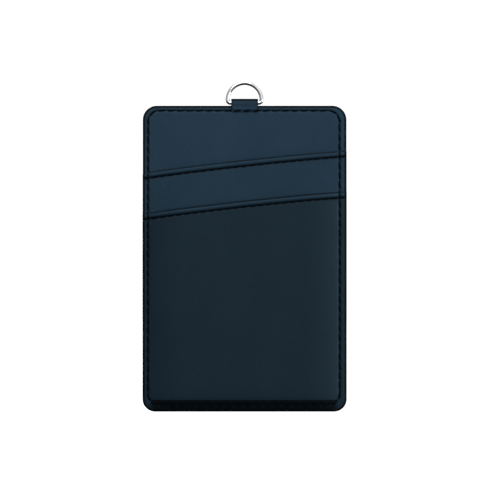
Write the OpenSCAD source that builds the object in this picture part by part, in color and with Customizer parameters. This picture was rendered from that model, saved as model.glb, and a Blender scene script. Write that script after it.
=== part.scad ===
// Vertical badge and card holder: two slanted card pockets on one side, a clear ID pocket on the
// other, and a D-ring on a leather tab. It stands upright, as it hangs from its ring: +Z points up
// to the ring, the slot side faces -Y and the window side faces +Y.
// The origin is the middle of the ring's free eye, in the ring's plane.

/* [Body] */
// Width of the holder
body_w = 72; // [70:0.5:80]
// Height of the holder, without its tab
body_h = 108; // [104:0.5:116]
// Radius of the two top corners
top_corner_r = 5; // [3:0.5:8]
// Radius of the two bottom corners
bottom_corner_r = 4.5; // [3:0.5:8]

/* [Layers] */
// Thickness of every leather panel
leather_t = 0.7; // [0.6:0.05:0.9]
// Thickness of the stiffener board
board_t = 0.7; // [0.7:0.05:1]
// Thickness of the fabric behind each card pocket
lining_t = 0.15; // [0.1:0.05:0.3]
// Thickness of the clear film
film_t = 0.2; // [0.15:0.05:0.3]
// Width of the turned edge that spaces each pocket from what is behind it
turned_edge_w = 4; // [3.5:0.25:6]

/* [Card pockets] */
// Depth of each pocket's free space, for one card
card_gap = 0.8; // [0.8:0.05:1.2]
// Height of the upper mouth at the middle of the holder
upper_mouth_z = 88.4; // [84:0.2:94]
// Height of the lower mouth at the middle of the holder
lower_mouth_z = 74; // [60:0.2:78]
// How much each mouth climbs from the left edge to the right edge
mouth_rise = 7.9; // [0:0.1:12]
// How far a mouth's two ends drop below its straight slope
mouth_bow = 0.5; // [0:0.1:2]

/* [ID pocket] */
// Height of the ID pocket's straight mouth
window_mouth_z = 96; // [93:0.5:99]
// Width of the window cut-out
window_w = 48; // [40:0.5:52]
// Height of the window cut-out
window_h = 74; // [60:0.5:76]
// Height of the cut-out's lower edge
window_z = 10; // [9:0.5:12]
// Corner radius of the cut-out
window_corner_r = 4; // [2:0.5:8]
// How far the film reaches past the cut-out on each side
film_lap = 4.5; // [3:0.25:5]

/* [Stitching] */
// Width of a seam's thread
thread_w = 0.5; // [0.3:0.05:0.7]
// Depth of the line pressed into the leather, which the thread fills
seam_depth = 0.12; // [0.08:0.02:0.2]
// Distance from the left edge to the seam round the holder
seam_left = 1.9; // [1.6:0.1:3]
// Distance from the right edge to the same seam
seam_right = 2.5; // [1.6:0.1:3]
// Distance from the top edge to the same seam
seam_top = 1.8; // [1.6:0.1:2.6]
// Distance from the bottom edge to the same seam
seam_bottom = 2.5; // [1.6:0.1:3]
// Distance from a pocket's mouth, or from the window's edge, to its own seam
mouth_seam = 1.8; // [1.4:0.1:2.6]

/* [Hanger] */
// Width of the leather tab
tab_w = 9.5; // [7:0.5:9.5]
// Thickness of the tab's leather
tab_t = 0.6; // [0.5:0.05:0.65]
// Height of the ring's bar above the holder's top edge, to its axis
bar_lift = 1; // [1:0.05:1.5]
// How far the tab's front ply reaches below the seam that holds it
tab_lap = 0.8; // [0.6:0.1:1.5]
// How deep the tab's hidden tail is sewn in below the top edge
tab_tail = 8; // [6:0.5:12]
// Diameter of the ring's wire
wire_d = 1.5; // [1.3:0.05:1.6]
// Radial play of the bar in the tab's loop
bar_play = 0.05; // [0.03:0.01:0.08]
// Width of the ring over its outside
ring_w = 13.5; // [13.5:0.1:16]
// Bend radius of the ring's two lower corners, at the wire's centre
ring_corner_r = 1; // [1:0.05:1.2]

/* [Hidden] */

leather = [0.14, 0.21, 0.26];
fabric = [0.07, 0.08, 0.10];
greyboard = [0.55, 0.52, 0.47];
thread = [0.03, 0.04, 0.05];
clear = [0.85, 0.90, 0.92, 0.4];
chrome = [0.80, 0.81, 0.83];

arc_steps = 8;            // segments in a rounded corner
mouth_steps = 16;         // segments along a bowed mouth
round_fn = 64;            // segments round the tab's loop and the ring
wire_fn = 32;             // segments round the bent wire
margin = 1;               // how far a cutting shape runs past what it cuts
lay_clearance = 0.2;      // room between a turned edge and what is laid inside it
ply_gap = 0.02;           // room between a panel and its own turned edge
least_r = 1;              // smallest corner radius of an inset outline
seam_corner_r = top_corner_r - least_r;

// Layer faces through the thickness, counted from the middle of the board
core_y = board_t / 2 + leather_t;
upper_face_y = -core_y - card_gap - lining_t - leather_t;
lower_face_y = upper_face_y - card_gap - lining_t - leather_t;
window_face_y = core_y + card_gap + film_t + leather_t;

// The ring: a half circle over two small corner bends and the straight bar
wire_r = wire_d / 2;
bar_y = -(board_t + leather_t) / 2;
bar_z = body_h + bar_lift;
arc_r = ring_w / 2 - wire_r;
arc_z = bar_z + ring_corner_r;
loop_bore_r = wire_r + bar_play;
loop_r = loop_bore_r + tab_t;
tab_front_y = -core_y - tab_t;
tab_front_z = body_h - seam_top - tab_lap;
eye_z = (bar_z + loop_r + arc_z + arc_r - wire_r) / 2;

// ---- Outlines, drawn in the plane of the holder's face ----

function arc(x, z, r, start) =
    [for (i = [0 : arc_steps]) let (a = start + 90 * i / arc_steps) [x + r * cos(a), z + r * sin(a)]];

function rounded(left, bottom, right, top, r_bottom, r_top) = concat(
    arc(right - r_top, top - r_top, r_top, 0),
    arc(left + r_top, top - r_top, r_top, 90),
    arc(left + r_bottom, bottom + r_bottom, r_bottom, 180),
    arc(right - r_bottom, bottom + r_bottom, r_bottom, 270)
);

function mouth_z(x, middle) =
    middle + mouth_rise * x / body_w - mouth_bow * pow(2 * x / body_w, 2);

module outline(inset = 0) {
    half = body_w / 2 - inset;
    polygon(rounded(-half, inset, half, body_h - inset,
        max(bottom_corner_r - inset, least_r), max(top_corner_r - inset, least_r)));
}

// Everything below a slanted mouth
module below(middle) {
    reach = body_w / 2 + margin;
    edge = [for (i = [0 : mouth_steps]) let (x = reach * (2 * i / mouth_steps - 1)) [x, mouth_z(x, middle)]];
    polygon(concat(edge, [[reach, -margin], [-reach, -margin]]));
}

// Everything below a straight mouth
module below_level(z) {
    translate([-body_w / 2 - margin, -margin])
        square([body_w + 2 * margin, z + margin]);
}

// The space inside a pocket's turned edge, open at the mouth
module pocket_room(inset) {
    half = body_w / 2 - inset;
    polygon(rounded(-half, inset, half, body_h + 2 * margin, bottom_corner_r, margin));
}

// A rounded rectangle grown outwards, or shrunk where grow is negative
module grown(left, bottom, right, top, r, grow) {
    polygon(rounded(left - grow, bottom - grow, right + grow, top + grow, r + grow, r + grow));
}

module window_outline(grow) {
    half = window_w / 2;
    grown(-half, window_z, half, window_z + window_h, window_corner_r, grow);
}

module tab_band(play = 0) {
    translate([-tab_w / 2 - play, body_h - tab_tail - play])
        square([tab_w + 2 * play, tab_tail + play + margin]);
}

// ---- Seams, drawn as bands in the plane of the holder's face ----

module perimeter_outline(grow) {
    half = body_w / 2;
    grown(-half + seam_left, seam_bottom, half - seam_right, body_h - seam_top, seam_corner_r, grow);
}

// The whole seam round the holder
module perimeter_seam() {
    difference() {
        perimeter_outline(thread_w / 2);
        perimeter_outline(-thread_w / 2);
    }
}

module slot_panel_seam() {
    difference() {
        perimeter_seam();
        below(upper_mouth_z);
        tab_band();
    }
}

module tab_seam() {
    intersection() {
        perimeter_seam();
        tab_band();
    }
}

module upper_pocket_seam() {
    difference() {
        intersection() {
            perimeter_seam();
            below(upper_mouth_z);
        }
        below(lower_mouth_z);
    }
}

module lower_pocket_seam() {
    intersection() {
        perimeter_seam();
        below(lower_mouth_z);
    }
}

module back_panel_seam() {
    difference() {
        perimeter_seam();
        below_level(window_mouth_z);
    }
}

module window_pocket_seam() {
    intersection() {
        perimeter_seam();
        below_level(window_mouth_z);
    }
}

// The seam that follows a slanted mouth from edge to edge
module slanted_mouth_seam(middle) {
    mouth_seam_ends()
        difference() {
            below(middle - mouth_seam + thread_w / 2);
            below(middle - mouth_seam - thread_w / 2);
        }
}

module straight_mouth_seam() {
    mouth_seam_ends()
        difference() {
            below_level(window_mouth_z - mouth_seam + thread_w / 2);
            below_level(window_mouth_z - mouth_seam - thread_w / 2);
        }
}

// Ends a mouth's seam short of the edges, and parts it where the perimeter seam crosses it
module mouth_seam_ends() {
    intersection() {
        outline(thread_w);
        difference() {
            children();
            difference() {
                perimeter_outline(thread_w);
                perimeter_outline(-thread_w);
            }
        }
    }
}

module window_seam() {
    difference() {
        window_outline(mouth_seam + thread_w / 2);
        window_outline(mouth_seam - thread_w / 2);
    }
}

// ---- Placing ----

// Lays a face outline as a sheet whose two faces are at y_low and y_high
module sheet(y_low, y_high) {
    translate([0, y_high - bar_y, -eye_z])
        rotate([90, 0, 0])
            linear_extrude(height = y_high - y_low)
                children();
}

// The pressed line under a seam on the slot side, or with no room outside the face, its thread
module slot_side_line(face_y, room = 0) {
    sheet(face_y - room, face_y + seam_depth)
        children();
}

// The same on the window side
module window_side_line(face_y, room = 0) {
    sheet(face_y - seam_depth, face_y + room)
        children();
}

// ---- Core ----

module slot_panel() {
    color(leather) {
        difference() {
            union() {
                sheet(-core_y, -board_t / 2) outline();
                sheet(-board_t / 2 - leather_t / 2, board_t / 2) outline();
            }
            sheet(-board_t / 2, board_t / 2 + margin) outline(turned_edge_w);
            sheet(-board_t / 2, board_t / 2 + margin) tab_band(lay_clearance);
            slot_side_line(-core_y, margin) slot_panel_seam();
        }
    }
}

module stiffener_board() {
    color(greyboard)
        sheet(-board_t / 2, board_t / 2)
            difference() {
                outline(turned_edge_w + lay_clearance);
                tab_band(lay_clearance);
            }
}

module back_panel() {
    color(leather)
        difference() {
            sheet(board_t / 2, core_y)
                outline();
            window_side_line(core_y, margin)
                back_panel_seam();
        }
}

// ---- Card pockets ----

// A pocket's left, bottom and right edges, turned in behind it. The child is the pocket's own outline
module turned_edge(low_y, high_y) {
    difference() {
        sheet(low_y, high_y)
            children();
        sheet(low_y - margin, high_y + margin)
            pocket_room(turned_edge_w);
    }
}

// The outline of a card pocket
module card_pocket_outline(mouth) {
    intersection() {
        outline();
        below(mouth);
    }
}

// A pocket panel and its turned edges, pressed in along its seams
module card_pocket(face_y, mouth) {
    inner_y = face_y + leather_t;
    color(leather) {
        difference() {
            sheet(face_y, inner_y)
                card_pocket_outline(mouth);
            slot_side_line(face_y, margin) {
                slanted_mouth_seam(mouth);
                children();
            }
        }
        turned_edge(inner_y + ply_gap, inner_y + lining_t + card_gap)
            card_pocket_outline(mouth);
    }
}

module pocket_lining(face_y, mouth) {
    color(fabric)
        sheet(face_y + leather_t, face_y + leather_t + lining_t)
            intersection() {
                pocket_room(turned_edge_w + lay_clearance);
                below(mouth - 2 * mouth_seam);
            }
}

module upper_pocket() {
    card_pocket(upper_face_y, upper_mouth_z)
        upper_pocket_seam();
}

module upper_pocket_lining() {
    pocket_lining(upper_face_y, upper_mouth_z);
}

module lower_pocket() {
    card_pocket(lower_face_y, lower_mouth_z)
        lower_pocket_seam();
}

module lower_pocket_lining() {
    pocket_lining(lower_face_y, lower_mouth_z);
}

// ---- ID pocket ----

module window_pocket_outline() {
    intersection() {
        outline();
        below_level(window_mouth_z);
    }
}

module window_pocket() {
    inner_y = window_face_y - leather_t;
    color(leather) {
        difference() {
            sheet(inner_y, window_face_y)
                window_pocket_outline();
            sheet(inner_y - margin, window_face_y + margin)
                window_outline(0);
            window_side_line(window_face_y, margin) {
                window_pocket_seam();
                straight_mouth_seam();
                window_seam();
            }
        }
        turned_edge(core_y, inner_y - ply_gap)
            window_pocket_outline();
    }
}

module window_film() {
    film_y = window_face_y - leather_t;
    color(clear)
        sheet(film_y - film_t, film_y)
            window_outline(film_lap);
}

// ---- Hanger ----

// The tab's folded strip in its Y-Z section: a front ply, a loop round the ring's bar and a hidden tail
module tab_section() {
    cut = 2 * loop_r;
    difference() {
        union() {
            difference() {
                translate([bar_y, bar_z])
                    circle(r = loop_r, $fn = round_fn);
                polygon([[bar_y, bar_z], [bar_y - cut, bar_z - cut], [bar_y + cut, bar_z - cut]]);
            }
            translate([tab_front_y, tab_front_z])
                square([tab_t, bar_z - wire_r - tab_front_z]);
            translate([-board_t / 2, body_h - tab_tail])
                square([tab_t, bar_z - wire_r - body_h + tab_tail]);
        }
        translate([bar_y, bar_z])
            circle(r = loop_bore_r, $fn = round_fn);
    }
}

module hanger_tab() {
    color(leather)
        difference() {
            translate([-tab_w / 2, -bar_y, -eye_z])
                rotate([90, 0, 90])
                    linear_extrude(height = tab_w)
                        tab_section();
            slot_side_line(tab_front_y, margin)
                tab_seam();
        }
}

// A bend of the ring's wire, in the ring's plane, from start and onward by turn
module wire_bend(x, z, r, start, turn) {
    translate([x, 0, z])
        rotate([90, 0, 0])
            rotate([0, 0, start])
                rotate_extrude(angle = turn, $fn = round_fn)
                    translate([r, 0])
                        circle(r = wire_r, $fn = wire_fn);
}

module d_ring() {
    straight = arc_r - ring_corner_r;
    color(chrome)
        translate([0, 0, -eye_z])
            union() {
                wire_bend(0, arc_z, arc_r, 0, 180);
                wire_bend(-straight, arc_z, ring_corner_r, 180, 90);
                wire_bend(straight, arc_z, ring_corner_r, 270, 90);
                translate([-straight, 0, bar_z])
                    rotate([0, 90, 0])
                        cylinder(h = 2 * straight, r = wire_r, $fn = round_fn);
            }
}

// ---- Stitching ----

module perimeter_stitching() {
    color(thread) {
        slot_side_line(-core_y) slot_panel_seam();
        slot_side_line(tab_front_y) tab_seam();
        slot_side_line(upper_face_y) upper_pocket_seam();
        slot_side_line(lower_face_y) lower_pocket_seam();
        window_side_line(core_y) back_panel_seam();
        window_side_line(window_face_y) window_pocket_seam();
    }
}

module upper_pocket_stitching() {
    color(thread)
        slot_side_line(upper_face_y)
            slanted_mouth_seam(upper_mouth_z);
}

module lower_pocket_stitching() {
    color(thread)
        slot_side_line(lower_face_y)
            slanted_mouth_seam(lower_mouth_z);
}

module window_stitching() {
    color(thread)
        window_side_line(window_face_y)
            window_seam();
}

module window_mouth_stitching() {
    color(thread)
        window_side_line(window_face_y)
            straight_mouth_seam();
}

slot_panel();
stiffener_board();
back_panel();
upper_pocket();
upper_pocket_lining();
lower_pocket();
lower_pocket_lining();
window_pocket();
window_film();
hanger_tab();
d_ring();
perimeter_stitching();
upper_pocket_stitching();
lower_pocket_stitching();
window_stitching();
window_mouth_stitching();
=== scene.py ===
import math

import bpy
import numpy as np
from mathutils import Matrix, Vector

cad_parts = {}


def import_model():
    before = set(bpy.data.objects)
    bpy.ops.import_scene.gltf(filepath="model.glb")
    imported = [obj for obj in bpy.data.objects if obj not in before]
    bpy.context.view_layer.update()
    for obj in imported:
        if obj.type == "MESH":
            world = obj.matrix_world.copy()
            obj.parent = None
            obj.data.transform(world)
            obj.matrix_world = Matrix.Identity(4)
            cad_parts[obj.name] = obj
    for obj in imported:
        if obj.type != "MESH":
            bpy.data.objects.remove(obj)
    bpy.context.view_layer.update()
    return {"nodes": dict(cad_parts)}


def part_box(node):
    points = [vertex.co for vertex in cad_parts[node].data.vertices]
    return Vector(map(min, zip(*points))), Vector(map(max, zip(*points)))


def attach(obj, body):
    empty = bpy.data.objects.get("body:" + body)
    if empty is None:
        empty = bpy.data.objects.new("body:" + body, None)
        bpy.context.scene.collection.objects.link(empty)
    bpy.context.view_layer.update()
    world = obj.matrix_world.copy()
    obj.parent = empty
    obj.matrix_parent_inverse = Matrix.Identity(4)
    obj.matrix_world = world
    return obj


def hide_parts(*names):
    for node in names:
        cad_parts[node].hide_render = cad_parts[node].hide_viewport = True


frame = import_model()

# ---------------------------------------------------------------------------
# Dimensions, in millimetres. X is across, Y through the thickness and z the
# height above the holder's bottom edge.
# ---------------------------------------------------------------------------

MM = 0.001
X, Y, Z = 0, 1, 2
LOW, HIGH = 0, 1


def side(node, end, axis):
    """A CAD node's lowest or highest coordinate along an axis."""
    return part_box(node)[end][axis] / MM


BOTTOM = side("slot_panel", LOW, Z)
HEIGHT = side("slot_panel", HIGH, Z) - BOTTOM
HALF_W = side("slot_panel", HIGH, X)
TOP_R, BOTTOM_R = 5.0, 4.5    # the outline's corners

SLOT_Y = side("slot_panel", LOW, Y)
UPPER_Y = side("upper_pocket", LOW, Y)
LOWER_Y = side("lower_pocket", LOW, Y)
BACK_Y = side("back_panel", HIGH, Y)
WINDOW_Y = side("window_pocket", HIGH, Y)
CORE_MID_Y = side("back_panel", LOW, Y)
PLY = BACK_Y - CORE_MID_Y
TURNED_W = 4.0         # width of the turned edges

MOUTH_RISE = 7.9       # how much higher a slanted mouth is at its right end
MOUTH_BOW = 0.5        # how far it bows up in the middle
UPPER_MOUTH = side("upper_pocket", HIGH, Z) - BOTTOM - MOUTH_RISE / 2 + MOUTH_BOW
LOWER_MOUTH = side("lower_pocket", HIGH, Z) - BOTTOM - MOUTH_RISE / 2 + MOUTH_BOW
WINDOW_MOUTH = side("window_pocket", HIGH, Z) - BOTTOM
MOUTH_SEAM = 1.8       # how far a seam lies behind its mouth or the window's edge

FILM_LAP = 4.5         # how far the film reaches past the window
WINDOW_HALF_W = side("window_film", HIGH, X) - FILM_LAP
WINDOW_LOW = side("window_film", LOW, Z) - BOTTOM + FILM_LAP
WINDOW_HIGH = side("window_film", HIGH, Z) - BOTTOM - FILM_LAP
WINDOW_R = 4.0

SEAM_LEFT, SEAM_RIGHT, SEAM_TOP, SEAM_BOTTOM = 1.9, 2.5, 1.8, 2.5
THREAD_R = 0.26        # half thickness of the thread
LONG_PITCH = 3.35      # stitches round the holder
SHORT_PITCH = 2.88     # stitches along the mouths and the window

TAB_HALF_W = side("hanger_tab", HIGH, X)
TAB_T = 0.6
TAB_SQUARE = 3.2       # exponent of the loop's squared front; 2 would leave it round
TAB_CREASE = 0.80      # height of the painted shade over the creased fold at the loop's crest
TAB_TURN = (205, -32)  # the loop's angles round the bar where its two plies leave it, in degrees
TAB_SKIVE = 0.55       # how much thinner the strip's two ends are
TAB_CORNER_R = 0.22    # radius of the strip's long edges
TAB_CUT_W = 0.45       # width of the dark line along them: edge paint and painted shade
TAB_CUT_DARK, TAB_CREST_DARK = 0.85, 0.9    # how dark that line and the fold's painted shade are, out of 1
WIRE_R = 0.75
RING_ARC_R = side("d_ring", HIGH, X) - WIRE_R
RING_CORNER_R = 1.0
BAR_Z = side("d_ring", LOW, Z) - BOTTOM + WIRE_R


# ---------------------------------------------------------------------------
# Plane curves
# ---------------------------------------------------------------------------

class Loop:
    """A rounded rectangle in the face's plane, walked from its bottom left, rightwards."""

    def __init__(self, left, bottom, right, top, r_bottom, r_top):
        self.left, self.bottom, self.right, self.top = left, bottom, right, top
        self.r_bottom, self.r_top = r_bottom, r_top
        width, height = right - left, top - bottom
        quarter = math.pi / 2
        self.lengths = [
            width - 2 * r_bottom, quarter * r_bottom,
            height - r_bottom - r_top, quarter * r_top,
            width - 2 * r_top, quarter * r_top,
            height - r_bottom - r_top, quarter * r_bottom,
        ]
        self.starts = np.concatenate([[0], np.cumsum(self.lengths)])
        self.length = float(self.starts[-1])

    def corners(self):
        """Each corner's centre, radius and first angle, in the order of walking."""
        b, t = self.r_bottom, self.r_top
        return [
            (self.right - b, self.bottom + b, b, -math.pi / 2),
            (self.right - t, self.top - t, t, 0.0),
            (self.left + t, self.top - t, t, math.pi / 2),
            (self.left + b, self.bottom + b, b, math.pi),
        ]

    def depth(self, x, z):
        """How far a point lies inside the loop; negative outside."""
        mid_x, mid_z = (self.left + self.right) / 2, (self.bottom + self.top) / 2
        r = np.where(z < mid_z, self.r_bottom, self.r_top)
        over_x = np.abs(x - mid_x) - ((self.right - self.left) / 2 - r)
        over_z = np.abs(z - mid_z) - ((self.top - self.bottom) / 2 - r)
        outside = np.hypot(np.maximum(over_x, 0), np.maximum(over_z, 0))
        return r - outside - np.minimum(np.maximum(over_x, over_z), 0)

    def point(self, s):
        """The point at arc length s, and the unit direction of walking there."""
        s = s % self.length
        i = min(int(np.searchsorted(self.starts, s, side="right")) - 1, 7)
        t = s - self.starts[i]
        if i % 2:
            cx, cz, r, first = self.corners()[i // 2]
            a = first + t / r
            return cx + r * math.cos(a), cz + r * math.sin(a), -math.sin(a), math.cos(a)
        if i == 0:
            return self.left + self.r_bottom + t, self.bottom, 1.0, 0.0
        if i == 2:
            return self.right, self.bottom + self.r_bottom + t, 0.0, 1.0
        if i == 4:
            return self.right - self.r_top - t, self.top, -1.0, 0.0
        return self.left, self.top - self.r_top - t, 0.0, -1.0

    def station(self, x, z):
        """The arc length of the loop's point nearest to each given point."""
        gaps = np.stack([z - self.bottom, self.right - x, self.top - z, x - self.left])
        along = np.stack([
            self.starts[0] + x - self.left - self.r_bottom,
            self.starts[2] + z - self.bottom - self.r_bottom,
            self.starts[4] + self.right - self.r_top - x,
            self.starts[6] + self.top - self.r_top - z,
        ])
        s = np.take_along_axis(along, np.argmin(gaps, axis=0)[None], axis=0)[0]
        for k, (cx, cz, r, first) in enumerate(self.corners()):
            to_x = x - cx if k in (0, 1) else cx - x
            to_z = z - cz if k in (1, 2) else cz - z
            a = (np.arctan2(z - cz, x - cx) - first) % (2 * math.pi)
            s = np.where((to_x > 0) & (to_z > 0), self.starts[2 * k + 1] + a * r, s)
        return s


EDGE = Loop(-HALF_W, 0, HALF_W, HEIGHT, BOTTOM_R, TOP_R)
SEAM = Loop(-HALF_W + SEAM_LEFT, SEAM_BOTTOM, HALF_W - SEAM_RIGHT, HEIGHT - SEAM_TOP, TOP_R - 1, TOP_R - 1)
WINDOW = Loop(-WINDOW_HALF_W, WINDOW_LOW, WINDOW_HALF_W, WINDOW_HIGH, WINDOW_R, WINDOW_R)
WINDOW_SEAM = Loop(
    -WINDOW_HALF_W - MOUTH_SEAM, WINDOW_LOW - MOUTH_SEAM, WINDOW_HALF_W + MOUTH_SEAM,
    WINDOW_HIGH + MOUTH_SEAM, WINDOW_R + MOUTH_SEAM, WINDOW_R + MOUTH_SEAM,
)


def fitted(length, pitch):
    """The stitch pitch nearest to the wanted one that divides a seam into whole stitches."""
    return length / round(length / pitch)


SEAM_PITCH = fitted(SEAM.length, LONG_PITCH)
WINDOW_PITCH = fitted(WINDOW_SEAM.length, SHORT_PITCH)
MOUTH_SPAN = 2 * (HALF_W - 0.3)
MOUTH_PITCH = fitted(MOUTH_SPAN, SHORT_PITCH)


def slanted(middle):
    """The height of a slanted mouth above each x."""
    return lambda x: middle + MOUTH_RISE * x / (2 * HALF_W) - MOUTH_BOW * (x / HALF_W) ** 2


def level(z):
    """The height of a straight mouth above each x."""
    return lambda x: z + 0 * x


def smooth(t):
    t = np.clip(t, 0, 1)
    return t * t * (3 - 2 * t)


# ---------------------------------------------------------------------------
# How the leather lies: heights above the margin's own level
# ---------------------------------------------------------------------------

FOOT = 4.4             # height of the band where a pocket's bottom slopes back to its edge
FOOT_FOLD = 0.12       # how softly the band breaks from the field, as a share of its height
FOOT_DROP, FOOT_REACH = 0.20, 1.6    # how far the field rounds over above the band, and within what height
FOOT_LINE = 0.2        # over what height the band turns to painted shade on a card pocket
WINDOW_FOOT_LINE = 1.2 # and on the window's frame
SEAM_GROOVE = 0.17     # depth of the pressed line under a seam
MOUTH_GROOVE = 0.22    # and of the one under a mouth's seam
GROOVE_W = 0.36        # half width of that line
PULL = 2.6             # how much wider each needle hole pulls the leather in
PINCH = 0.09           # how far the holes pull it in
ROLL, ROLL_W = 0.30, 2.0    # how far, and over what width, the margin rolls back to the edge
LIP, LIP_AT, LIP_W = 0.03, 0.8, 0.5    # the soft roll of a folded lip: its height, place and half width
HEM, HEM_H = 0.35, 5.5      # how much thicker a pocket is at its folded mouth, and how far down
MARK, MARK_REACH = 0.16, 0.6    # the hollow that a mouth presses into the sheet behind: depth and height
WINDOW_ROLL, WINDOW_ROLL_W = 0.10, 1.2    # how far, and over what width, the frame rolls in to the window
SETTLE = 0.05          # how far a whole field has sunk from its highest level
LAID = 0.4             # how far behind a covering mouth a core panel's relief begins
RIM, MOUTH_RIM = 0.7, 0.1    # width of the dark rim along the outer edge (edge paint and painted shade) and along a mouth (painted shade), before it fades
RIM_FADE = 0.3         # over what width a rim fades
LIP_LIGHT = 0.8       # how much of its painted shade a folded lip loses: a painted highlight
CONTACT_SHADOW = 0.2          # width of the painted contact shadow that a mouth casts on the sheet behind it
SEAM_CREASE = 0.42     # half width of the painted shade along a seam's pressed line
MOUTH_CREASE = 0.60    # and of the one along a mouth's seam
# how dark these are, out of 1: the painted shade along the outer seam's line and a mouth's rim, the window's
# rim (edge paint and painted shade) and the painted contact shadow
SEAM_DARK, MOUTH_DARK, WINDOW_DARK, CONTACT_SHADOW_DARK = 0.8, 0.8, 0.7, 0.6


def rim(depth, width):
    """A dark band along a sheet's edge or a line, fading inwards: edge paint and painted shade along the
    outer edge and the window, painted shade along a mouth and as a contact shadow.
    """
    return 1 - smooth((depth - width) / RIM_FADE)


def groove_shade(distance, width, most=1.0):
    """How dark the painted shade in a pressed seam line is."""
    return most * np.exp(-(distance / width) ** 2)


def stitch_wave(s, pitch):
    """1 at each needle hole, 0 at the middle of each stitch."""
    return 0.5 + 0.5 * np.cos(2 * math.pi * s / pitch)


def groove(distance, s, pitch, deep=SEAM_GROOVE):
    """The pressed line under a seam, deepest at its needle holes."""
    line = np.exp(-(distance / GROOVE_W) ** 2)
    pull = np.exp(-(distance / (PULL * GROOVE_W)) ** 2)
    pinch = PINCH * stitch_wave(s, pitch)
    return (deep + 0.5 * pinch) * line + pinch * pull


def sway(x, z, phase, amount=0.05):
    """Slow unevenness of a hand-laid sheet."""
    a = np.sin(x / 9.0 + 1.7 * phase + 0.6 * np.sin(z / 17.0))
    b = np.sin(z / 12.5 + phase - 0.4 * np.cos(x / 13.0))
    c = np.sin((x + z) / 7.3 + 2.1 * phase)
    return amount * (0.5 * a + 0.35 * b + 0.15 * c)


def ease(t):
    return 1 - (1 - np.clip(t, 0, 1)) ** 2


def rise(x, z, shoulder):
    """0 along the side seams and the bottom edge, 1 over the field inside them."""
    left, right = (x - SEAM.left) / shoulder, (SEAM.right - x) / shoulder
    t = z / FOOT
    foot = (t + 1 - np.sqrt((t - 1) ** 2 + FOOT_FOLD**2)) / 2
    return ease(left) * ease(right) * np.clip(foot, 0, 1)


def foot_round(z):
    """How far the field has rounded over towards the foot band, from 1 at the band to 0 well above it."""
    return np.exp(-np.abs(z - FOOT) / FOOT_REACH)


def border(x, z):
    """The pillowed margin outside the seam: it rolls off to the edge, and the seam pinches it."""
    inside = EDGE.depth(x, z)
    roll = ROLL * (1 - np.clip(inside / ROLL_W, 0, 1)) ** 2
    return -roll - groove(SEAM.depth(x, z), SEAM.station(x, z), SEAM_PITCH)


def mouth_relief(x, below):
    """The seam under a mouth, and the soft roll of the folded lip above it."""
    lip = LIP * np.exp(-((below - LIP_AT) / LIP_W) ** 2)
    return lip - groove(below - MOUTH_SEAM, x + MOUTH_SPAN / 2, MOUTH_PITCH, MOUTH_GROOVE)


def rubbed(x, z, mouth):
    """The soft hollow that a pocket's mouth presses into the sheet behind it, just above the mouth."""
    above = np.maximum(z - mouth(x), 0)
    return MARK * np.exp(-above / MARK_REACH)


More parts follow.
